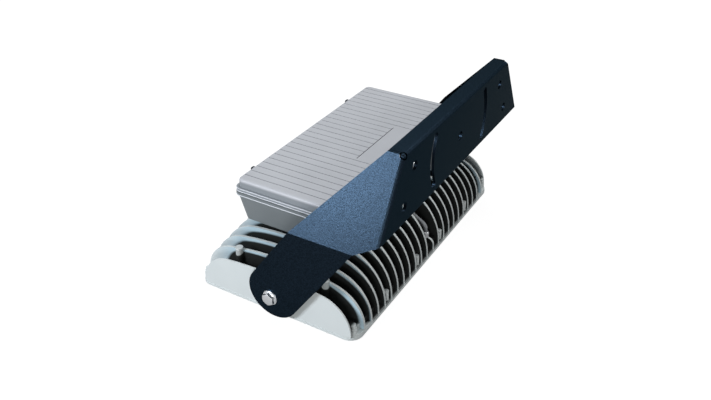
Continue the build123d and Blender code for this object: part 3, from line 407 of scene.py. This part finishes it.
def from_fin_plane(tree, axes):
    """Distance along Y to the nearest fin's middle plane: it goes up and down again once in each
    spacing, from the first fin of each half to the last gap."""
    far_half = add(tree, "Math", axes["Y"], 0.0, operation="GREATER_THAN")
    first = add(tree, "Math", far_half, FAR_FIN_Y - NEAR_FIN_Y, NEAR_FIN_Y, operation="MULTIPLY_ADD")
    along = add(tree, "Math", distance(tree, axes["Y"], 0.0), LAST_GAP_Y, operation="MINIMUM")
    from_first = add(tree, "Math", along, first, operation="SUBTRACT")
    return add(tree, "Math", from_first, FIN_PITCH / 2.0, operation="PINGPONG")


def end_gap_shade(tree, axes):
    """Shade in the two end gaps, below the tops of the round posts and lighter on the posts."""
    in_gap = add(tree, "Math", distance(tree, axes["Y"], 0.0), END_GAP_Y, operation="GREATER_THAN")
    below_tops = add(tree, "Math", axes["Z"], POST_SIDE_TOP_Z, operation="LESS_THAN")
    by_posts = add(tree, "Math", distance(tree, axes["X"], CASTING_X), END_GAP_HALF, operation="LESS_THAN")
    across = distance(tree, axes["X"], PIVOT_X)
    on_post = add(tree, "Math", across, POST_X, POST_R + POST_MARGIN, operation="COMPARE")
    shade = add(tree, "Math", on_post, POST_SHADE - GAP_SHADE, GAP_SHADE, operation="MULTIPLY_ADD")
    return product(tree, in_gap, below_tops, by_posts, shade)


def off_the_bosses(tree, axes):
    """0 on the round screw bosses along both long sides, and 1 away from them."""
    along = distance(tree, axes["Y"], 0.0)
    beside = add(tree, "Math", *[distance(tree, along, y) for y in RIM_SCREW_Y], operation="MINIMUM")
    outward = distance(tree, distance(tree, axes["X"], CASTING_X), RIM_SCREW_X)
    squares = [add(tree, "Math", reach, 2.0, operation="POWER") for reach in (beside, outward)]
    total = add(tree, "Math", *squares, operation="ADD")
    return add(tree, "Math", total, (RIM_BOSS_R + BOSS_MARGIN) ** 2, operation="GREATER_THAN")


def housing_shading(tree, shader, place, paint):
    """Pale powder coat with painted shade in the gaps between the fins and in the end gaps: near
    black and duller there. On the fins' flat faces, away from the open shoulder, a painted cool light
    tints the paint blue-grey. Rims, bosses and end plates keep the plain paint."""
    axes = add(tree, "SeparateXYZ", place).node.outputs
    shoulder = add(tree, "MapRange", axes["X"], *OPEN_SHOULDER, **SMOOTH)
    from_fin = from_fin_plane(tree, axes)
    off_rims = add(tree, "Math", from_fin, FIN_HALF_THICKNESS - RIM_TOLERANCE, operation="GREATER_THAN")
    along = distance(tree, axes["Y"], 0.0)
    between_ends = add(tree, "MapRange", along, END_INNER, END_INNER - END_FACE_FADE, **SMOOTH)
    shades = [inside_the_gaps(tree, axes, shoulder), end_gap_shade(tree, axes)]
    unlit = add(tree, "Math", *shades, operation="MAXIMUM")
    # Where the painted shade lies: in the gaps, off the rims, bosses and end plates
    painted_gap_shade = product(tree, unlit, between_ends, off_rims, off_the_bosses(tree, axes))
    on_face = add(tree, "Math", from_fin, FIN_HALF_THICKNESS, FACE_TOLERANCE, operation="COMPARE")
    off_shoulder = add(tree, "Math", 1.0, shoulder, operation="SUBTRACT")
    painted_cool_light = product(tree, on_face, off_shoulder)
    dullness = add(tree, "Math", painted_gap_shade, GAP_SHADE_DULLNESS, HOUSING_ROUGHNESS, operation="MULTIPLY_ADD")
    tree.links.new(dullness, shader.inputs["Roughness"])
    # Painted cool light: the fins' flat faces away from the open shoulder are tinted blue-grey
    coat = add(tree, "Mix", inputs={0: painted_cool_light, 6: paint, 7: linear("#b0c7d1")}, **COLOURS)
    # Painted shade: the gaps between the fins and the end gaps turn near black
    return add(tree, "Mix", inputs={0: painted_gap_shade, 6: coat, 7: linear("#111413")}, **COLOURS)


def lid_shading(tree, shader, place, paint):
    """Satin silver paint with painted shade: darker on the skirt and dark on the hinge eyes. The
    narrow grooves hold the shade, the one beside the pad most."""
    axes = add(tree, "SeparateXYZ", place).node.outputs
    # Painted shade: the lid's sides darken from the rounded top edge down over the skirt
    skirt = add(tree, "MapRange", axes["Z"], *SKIRT, **SMOOTH)
    sides = add(tree, "Mix", inputs={0: skirt, 6: paint, 7: linear("#8d9296")}, **COLOURS)
    # Painted shade: dark past the rim on the hinge side, over the hinge eyes
    behind_hinge = add(tree, "Math", axes["X"], HINGE_SIDE_X, operation="LESS_THAN")
    eyes = add(tree, "Mix", inputs={0: behind_hinge, 6: sides, 7: linear("#3b3f44")}, **COLOURS)
    across = distance(tree, axes["X"], PIVOT_X)
    grooved = product(
        tree,
        add(tree, "Math", axes["Z"], GROOVE_TOP_Z, operation="LESS_THAN"),
        add(tree, "Math", axes["Z"], GROOVE_FLOOR_Z, operation="GREATER_THAN"),
        add(tree, "Math", across, LID_GROOVE_END, operation="LESS_THAN"),
        add(tree, "Math", distance(tree, axes["Y"], 0.0), LID_FLAT_END, operation="LESS_THAN"),
    )
    by_pad = add(tree, "Math", axes["X"], PAD_LINE_X, PAD_LINE_HALF, operation="COMPARE")
    shade = add(tree, "Mix", inputs={0: by_pad, 6: linear("#5a5c62"), 7: linear("#1b1c1f")}, **COLOURS)
    return add(tree, "Mix", inputs={0: grooved, 6: eyes, 7: shade}, **COLOURS)


def led_board_coat():
    """White solder mask, with the yellow phosphor of the chips that stand on its underside. The
    phosphor's grains are drawn 1.8 mm apart so that they show through the lenses."""
    material, tree, shader, place = new_material("white_solder_mask", {"Roughness": 0.35, "IOR": 1.5})
    grain = add(tree, "TexNoise", inputs={"Vector": place, "Scale": per_metre(4.0)})
    mask = add(tree, "Mix", inputs={0: grain, 6: linear("#e2e2dc"), 7: linear("#ebebe6")}, **COLOURS)
    dots = add(tree, "TexVoronoi", inputs={"Vector": place, "Scale": per_metre(1.8)})
    yellow_and_amber = {0: dots, 6: linear("#f0cf4e"), 7: linear("#d9a92c")}
    phosphor = add(tree, "Mix", inputs=yellow_and_amber, **COLOURS)
    height = add(tree, "SeparateXYZ", place, output="Z")
    on_chip = add(tree, "Math", height, CHIP_Z, operation="LESS_THAN")
    colour = add(tree, "Mix", inputs={0: on_chip, 6: mask, 7: phosphor}, **COLOURS)
    relief = add(tree, "Bump", inputs={"Height": grain, "Strength": 0.15, "Distance": 0.0002})
    tree.links.new(colour, shader.inputs["Base Color"])
    tree.links.new(relief, shader.inputs["Normal"])
    return material


powder = textured_black_powder()
solder_mask = led_board_coat()

# Pale grey paint on the finned casting, with painted shade in its gaps and a painted cool light on
# the fins' faces, and the plain paint on the flat frame below it
housing_paint = cast_paint("pale_grey_cast_paint", "#cfd6d5", "#dbe0df", HOUSING_ROUGHNESS, housing_shading)
frame_paint = cast_paint("pale_grey_frame_paint", "#cfd6d5", "#dbe0df", HOUSING_ROUGHNESS)

# Silver paints: dull on the box, satin on the lid, and a lighter one on the rounded beads as a painted
# highlight
box_paint = cast_paint("silver_grey_cast_paint", "#73797b", "#7f8587", 0.38)
lid_paint = cast_paint("silver_lid_paint", "#aeb0b4", "#babcc0", 0.36, lid_shading)
highlight_paint = cast_paint("silver_paint_as_painted_highlight", "#c9cdd2", "#d6d9de", 0.30)

# Metals: near white zinc, greyer stainless steel, cloudy galvanised sheet and satin anodised cases
zinc = worked_metal("bright_zinc_plate", "#f2f4f6", 0.30, grain_mm=3.0)
stainless = worked_metal("stainless_steel", "#b9bcbe", 0.30, grain_mm=1.5)
galvanised = worked_metal("galvanised_sheet", "#b4b9bb", 0.42, grain_mm=12.0)
anodised = worked_metal("natural_anodised_aluminium", "#c6c8ca", 0.38, grain_mm=1.2)

# Mouldings: dull black silicone, black nylon with a faint sheen, grey nylon and cream polyamide
silicone = moulded("black_silicone", "#15161a", "#1d1f22", 0.65)
black_nylon = moulded("black_glass_filled_nylon", "#141518", "#1e2023", 0.5)
grey_nylon = moulded("light_grey_nylon", "#8d9194", "#999da0", 0.5)
cream_plastic = moulded("pale_polyamide", "#cfc9b4", "#d8d3c0", 0.45)

# Toughened float glass with its faint green, and the very clear acrylic of the lens plates
glass = clear("toughened_glass", "#eef6f2", 0.02, 1.52, 1.0, wave_mm=180.0, wave_strength=0.02)
acrylic = clear("moulded_acrylic", "#f4f8fa", 0.06, 1.49, 0.75, wave_mm=25.0, wave_strength=0.04)

FINISH = {
    powder: ["bracket"],
    housing_paint: ["led_housing"],
    frame_paint: ["front_frame"],
    box_paint: ["gear_box"],
    lid_paint: ["gear_lid"],
    zinc: ["pivot_bolts", "pivot_washers"],
    stainless: [
        "frame_screws", "box_screws", "tray_screws", "driver_screws", "lid_screws",
        "hinge_pins", "link_glands",
    ],
    galvanised: ["gear_tray"],
    anodised: ["led_drivers"],
    glass: ["front_glass"],
    acrylic: ["lens_plates"],
    solder_mask: ["led_boards"],
    silicone: ["glass_seal", "lid_gasket", "gland_plug"],
    black_nylon: ["pivot_bushes", "cable_gland", "gland_locknut", "gland_cap", "pressure_vent"],
    grey_nylon: ["surge_protector", "link_conduit"],
    cream_plastic: ["terminal_block"],
}

for finish, nodes in FINISH.items():
    for name in nodes:
        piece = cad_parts[name]
        piece.data.materials.clear()
        piece.data.materials.append(finish)


# Small fittings

def turned(axis, middle, stations, radii):
    """Closed surface carried round a line: column j stands at angle 2 pi j / n about the line through
    middle, and row i at stations[i] along it, at the distance radii[i, j]. stations may vary round
    the line too. The two ends are closed by flat caps."""
    rows, columns = radii.shape
    turn = np.arange(columns) * 2.0 * np.pi / columns
    along = np.broadcast_to(np.asarray(stations, float).reshape(rows, -1), radii.shape)
    first, second = radii * np.cos(turn), radii * np.sin(turn)
    order = {"Z": (first, second, along), "Y": (second, along, first)}[axis]
    points = np.stack(order, axis=-1) + np.asarray(middle, float)
    index = np.arange(rows * columns).reshape(rows, columns)
    ahead = np.roll(index, -1, axis=1)
    quads = np.stack([index[:-1], ahead[:-1], ahead[1:], index[1:]], axis=-1).reshape(-1, 4)
    return points.reshape(-1, 3), quads.tolist() + [index[0][::-1].tolist(), index[-1].tolist()]


def looped(path, outward, radius, sides=12):
    """Closed bead: round section of the radius, carried along a closed level path. Column k of the
    section stands at angle 2 pi k / sides, out along the path's outward normal and up along Z."""
    turn = np.arange(sides) * 2.0 * np.pi / sides
    out = outward[:, None, :] * np.cos(turn)[None, :, None]
    up = np.zeros((1, sides, 3))
    up[..., 2] = np.sin(turn)
    points = path[:, None, :] + radius * (out + up)
    index = np.arange(len(path) * sides).reshape(len(path), sides)
    ahead, beside = np.roll(index, -1, axis=0), np.roll(index, -1, axis=1)
    across = np.roll(ahead, -1, axis=1)
    quads = np.stack([index, ahead, across, beside], axis=-1).reshape(-1, 4)
    return points.reshape(-1, 3), quads.tolist()


def fitting(name, shells, finish, body, smooth_degrees=32.0):
    """One object from several closed shells, smooth up to an edge angle."""
    points, faces, start = [], [], 0
    for shell_points, shell_faces in shells:
        points.append(shell_points)
        faces += [[corner + start for corner in face] for face in shell_faces]
        start += len(shell_points)
    mesh = bpy.data.meshes.new(name)
    mesh.from_pydata(np.concatenate(points).tolist(), [], faces)
    mesh.materials.append(finish)
    mesh.shade_smooth()
    mesh.set_sharp_from_angle(angle=radians(smooth_degrees))
    piece = bpy.data.objects.new(name, mesh)
    bpy.context.scene.collection.objects.link(piece)
    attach(piece, body)
    return piece


def hexagon_reach(half_flats, columns):
    """Distance to a hexagon's side at each column's angle, with a corner at angle 0: half the width
    across flats over the cosine of the angle from the side's middle."""
    turn = np.arange(columns) * 2.0 * np.pi / columns
    return half_flats / np.cos(np.mod(turn, np.pi / 3.0) - np.pi / 6.0)


def places_of(node):
    """Middle, lowest and highest Z of each upright screw in a node, from its vertices."""
    corners = np.array([v.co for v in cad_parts[node].data.vertices], float)
    found = []
    while len(corners):
        near = np.hypot(*(corners[:, :2] - corners[0, :2]).T) < SAME_SCREW
        low, high = corners[near].min(0), corners[near].max(0)
        found.append(((low + high) / 2.0, low[2], high[2]))
        corners = corners[~near]
    return found


def socket_screw(middle, low, high, head_up):
    """Button-head screw, turned from its profile: chamfered tip, shank and round-edged head, then
    back down a hexagon socket. One without a shank starts under its head."""
    length = high - low
    seat = length - SCREW_HEAD_HEIGHT
    shank = [
        (0.0, SCREW_TIP_R),
        (min(SCREW_TIP_LENGTH, seat / 2.0), SCREW_SHANK_R),
        (seat, SCREW_SHANK_R),
        (seat, SCREW_HEAD_R),
    ]
    if seat < THINNEST_SHANK:
        shank = [(0.0, SCREW_HEAD_R)]
    head = [(length - down, SCREW_HEAD_R - inward) for down, inward in HEAD_EDGE]
    key = hexagon_reach(SOCKET_HALF_FLATS, SCREW_COLUMNS)
    socket = [
        (length, key + SOCKET_CHAMFER),
        (length - SOCKET_CHAMFER, key),
        (length - SOCKET_DEPTH, key),
    ]
    rows = shank + head + socket
    stations = np.array([station for station, _ in rows])
    radii = np.array([np.broadcast_to(radius, SCREW_COLUMNS) for _, radius in rows])
    if head_up:
        return turned("Z", (middle[0], middle[1], low), stations, radii)
    return turned("Z", (middle[0], middle[1], high), -stations[::-1], radii[::-1])


def make_screws():
    """Each screw node is drawn again with a hexagon socket and rounded edges."""
    for node in ("frame_screws", "box_screws", "tray_screws", "driver_screws", "lid_screws"):
        head_up = node != "frame_screws"
        shells = [socket_screw(*place, head_up) for place in places_of(node)]
        body = "lid" if node == "lid_screws" else "head"
        piece = fitting("socket_" + node, shells, stainless, body)
        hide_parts(node)


def make_pivot_bolts():
    """Flanged hexagon bolts: round shank, flange that slopes up to the hexagon, and corners cut back by
    a 30 degree chamfer, so that their height falls by the reach past the top circle times tan 30."""
    flats = hexagon_reach(BOLT_HALF_FLATS, BOLT_COLUMNS)
    top = BOLT_TOP_SHARE * BOLT_HALF_FLATS
    chamfer = np.maximum(flats - top, 0.0) * np.tan(BOLT_CHAMFER)
    length = BOLT_SEAT + BOLT_HEAD_HEIGHT
    edge_r = BOLT_FLANGE_R - BOLT_FLANGE_EDGE
    slope = np.minimum(flats + BOLT_SLOPE_FILLET, BOLT_FLANGE_R - BOLT_SLOPE_FILLET)
    rows = [
        (0.0, BOLT_TIP_R),
        (BOLT_TIP_LENGTH, BOLT_SHANK_R),
        (BOLT_SEAT, BOLT_SHANK_R),
        (BOLT_SEAT, edge_r),
        (BOLT_SEAT + BOLT_FLANGE_EDGE, BOLT_FLANGE_R),
        (BOLT_SEAT + BOLT_FLANGE_SIDE, BOLT_FLANGE_R),
        (BOLT_SEAT + BOLT_SLOPE_START, slope),
        (BOLT_SEAT + BOLT_SLOPE_END, np.minimum(flats, edge_r)),
        (length - chamfer, flats),
        (length, top),
    ]
    stations = np.array([np.broadcast_to(station, BOLT_COLUMNS) for station, _ in rows])
    radii = np.array([np.broadcast_to(radius, BOLT_COLUMNS) for _, radius in rows])
    near_bolt = turned("Y", (PIVOT_X, BOLTS_LOW.y + length, PIVOT_Z), -stations[::-1], radii[::-1])
    far_bolt = turned("Y", (PIVOT_X, BOLTS_HIGH.y - length, PIVOT_Z), stations, radii)
    bolts = fitting("flanged_pivot_bolts", [near_bolt, far_bolt], zinc, "head")
    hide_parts("pivot_bolts")


def rim_path(inset, z, arc_steps=14):
    """Level closed path a little inside the box's flange, and its outward normals: four quarter
    circles joined by straight runs."""
    turn = np.linspace(0.0, np.pi / 2.0, arc_steps)
    turns = np.concatenate([turn + k * np.pi / 2.0 for k in range(4)])
    outward = np.stack([np.cos(turns), np.sin(turns), np.zeros_like(turns)], axis=-1)
    signs = np.repeat([(1, 1), (-1, 1), (-1, -1), (1, -1)], arc_steps, axis=0)
    straight = np.array([FLANGE_HALF_X - FLANGE_CORNER_R, FLANGE_HALF_Y - FLANGE_CORNER_R])
    path = np.zeros((len(turns), 3))
    path[:, :2] = signs * straight + (FLANGE_CORNER_R - inset) * outward[:, :2]
    path += (PIVOT_X, 0.0, z)
    return path, outward


def make_rim_beads():
    """Rounded ridges round the lid's rim and the gear box's flange, where the castings' edges show as
    three bright lines: they are painted lighter than the castings, a painted highlight. Each stands
    about 0.7 mm proud."""
    lid = [rim_path(LID_RIM_INSET + BEAD_SINK, z) for z in LID_BEADS_Z]
    box = [rim_path(BEAD_SINK, BOX_BEAD_Z)]
    for name, paths, body, slot in (
        ("lid_rim_beads", lid, "lid", "lid_paint"),
        ("box_flange_bead", box, "head", "box_paint"),
    ):
        shells = [looped(path, outward, BEAD_R) for path, outward in paths]
        fitting(name, shells, highlight_paint, body, smooth_degrees=60.0)


def make_corner_welds():
    """Small weld at each upper corner of the bracket, where lip, facet and web meet: a ball whose
    radius ripples by a few hundredths, with five waves round it and three from pole to pole."""
    turn = np.arange(WELD_COLUMNS) * 2.0 * np.pi / WELD_COLUMNS
    tilt = np.linspace(WELD_POLE, np.pi - WELD_POLE, WELD_ROWS)[:, None]
    shells = []
    for side in (-1, 1):
        ripple = 1.0 + WELD_RIPPLE * np.sin(5.0 * turn + side) * np.sin(3.0 * tilt) ** 2
        reach = WELD_R * ripple
        middle = (-WELD_INSET, side * (CORNER_Y - WELD_INSET), CORNER_Z - WELD_INSET)
        shells.append(turned("Z", middle, -reach * np.cos(tilt), reach * np.sin(tilt)))
    fitting("corner_welds", shells, powder, "bracket", smooth_degrees=60.0)


def make_terminal_screws():
    """Slotted screws down in the terminal block's holes. The top is a row of rings, and where a point
    on one lies within half the slot's width of the slot's middle line, its height is the slot's
    floor."""
    low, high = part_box("terminal_block")
    turn = np.arange(TERMINAL_COLUMNS) * 2.0 * np.pi / TERMINAL_COLUMNS
    rings = np.array(TERMINAL_RINGS)[:, None]
    from_line = np.abs(rings * np.sin(turn + SLOT_TURN))
    top = TERMINAL_SCREW_TOP - np.where(from_line < SLOT_HALF_WIDTH, SLOT_DEPTH, 0.0)
    side = np.array([[0.0], [TERMINAL_SCREW_SIDE]])
    stations = np.concatenate([np.broadcast_to(side, (2, TERMINAL_COLUMNS)), top])
    reach = np.concatenate([np.full((2, 1), TERMINAL_SCREW_R), rings])
    radii = np.broadcast_to(reach, stations.shape)
    shells = []
    for way in range(TERMINAL_WAYS):
        x = low.x + (way + 0.5) * TERMINAL_PITCH
        middle = (x, (low.y + high.y) / 2.0, high.z - TERMINAL_SCREW_FOOT)
        shells.append(turned("Z", middle, stations, radii))
    fitting("terminal_screws", shells, zinc, "head")


make_screws()
make_pivot_bolts()
make_rim_beads()
make_corner_welds()
make_terminal_screws()


# Floor, backdrop and light

def background_share(tree, glossy_share):
    """How much of the plain white background a ray sees: all of it from the camera and through
    glass, and part of it in a reflection, so that dark paint stays dark."""
    rays = add(tree, "LightPath").node.outputs
    straight = add(tree, "Math", rays["Is Camera Ray"], rays["Is Transmission Ray"], operation="MAXIMUM")
    mirrored = add(tree, "Math", rays["Is Glossy Ray"], glossy_share, operation="MULTIPLY")
    return add(tree, "Math", straight, mirrored, operation="MAXIMUM")


def pale_floor():
    """A floor that shows white where it is lit and pale grey in the object's shadow. Far out it is as
    white as the backdrop, so that no edge shows, and from below it is see-through."""
    material = bpy.data.materials.new("pale_floor")
    material.use_nodes = True
    tree = material.node_tree
    tree.nodes.clear()
    lit = add(tree, "BsdfDiffuse", linear("#747474"))
    place = add(tree, "TexCoord", output="Object")
    from_middle = add(tree, "VectorMath", place, operation="LENGTH", output="Value")
    far_out = add(tree, "MapRange", from_middle, *FAR_OUT, **SMOOTH)
    white = add(tree, "Math", far_out, 1.0 - FLOOR_WHITE, FLOOR_WHITE, operation="MULTIPLY_ADD")
    seen = background_share(tree, FLOOR_IN_REFLECTIONS)
    plain = add(tree, "Emission", linear("#ffffff"), product(tree, seen, white))
    both = add(tree, "AddShader", lit, plain)
    from_below = add(tree, "NewGeometry", output="Backfacing")
    shown = add(tree, "MixShader", from_below, both, add(tree, "BsdfTransparent"))
    add(tree, "OutputMaterial", shown)
    return material


def make_floor():
    """One square a little below the lamp."""
    mesh = bpy.data.meshes.new("floor")
    around = ((-1, -1), (1, -1), (1, 1), (-1, 1))
    corners = [(x * FLOOR_HALF, y * FLOOR_HALF, UNDERSIDE_Z - FLOOR_GAP) for x, y in around]
    mesh.from_pydata(corners, [], [(0, 1, 2, 3)])
    floor = bpy.data.objects.new("floor", mesh)
    bpy.context.scene.collection.objects.link(floor)
    floor.data.materials.append(pale_floor())


def make_world():
    """White backdrop, with a faint blue-grey sky as the fill that lights the lamp."""
    world = bpy.data.worlds.new("world")
    world.use_nodes = True
    tree = world.node_tree
    tree.nodes.clear()
    sky = add(tree, "Background", linear("#dfe6ee"), SKY_STRENGTH)
    white = add(tree, "Background", linear("#ffffff"), 1.0)
    shown = add(tree, "MixShader", background_share(tree, BACKDROP_IN_REFLECTIONS), sky, white)
    add(tree, "OutputWorld", shown)
    bpy.context.scene.world = world


def softbox(name, direction, away, side, power, tint="#ffffff"):
    """Square area lamp that faces the flood light from a direction, some metres away."""
    data = bpy.data.lights.new(name, "AREA")
    data.shape = "SQUARE"
    data.size = side
    data.energy = power
    data.color = linear(tint)[:3]
    lamp = bpy.data.objects.new(name, data)
    bpy.context.scene.collection.objects.link(lamp)
    place = LIT_PLACE + Vector(direction).normalized() * away
    aim = (LIT_PLACE - place).to_track_quat("-Z", "Y").to_matrix().to_4x4()
    lamp.matrix_world = Matrix.Translation(place) @ aim


make_floor()
make_world()
softbox("top_softbox", (0.0, 0.35, 1.0), away=2.4, side=1.6, power=36.0)
softbox("left_softbox", (-0.42, -0.79, 0.45), away=2.4, side=0.7, power=41.0, tint="#f2f7ff")
softbox("right_softbox", (1.0, 0.5, 0.6), away=2.6, side=0.9, power=14.0)
softbox("front_softbox", (0.40, -1.0, 0.15), away=2.6, side=0.9, power=20.0)

bpy.context.scene.view_settings.view_transform = "Standard"
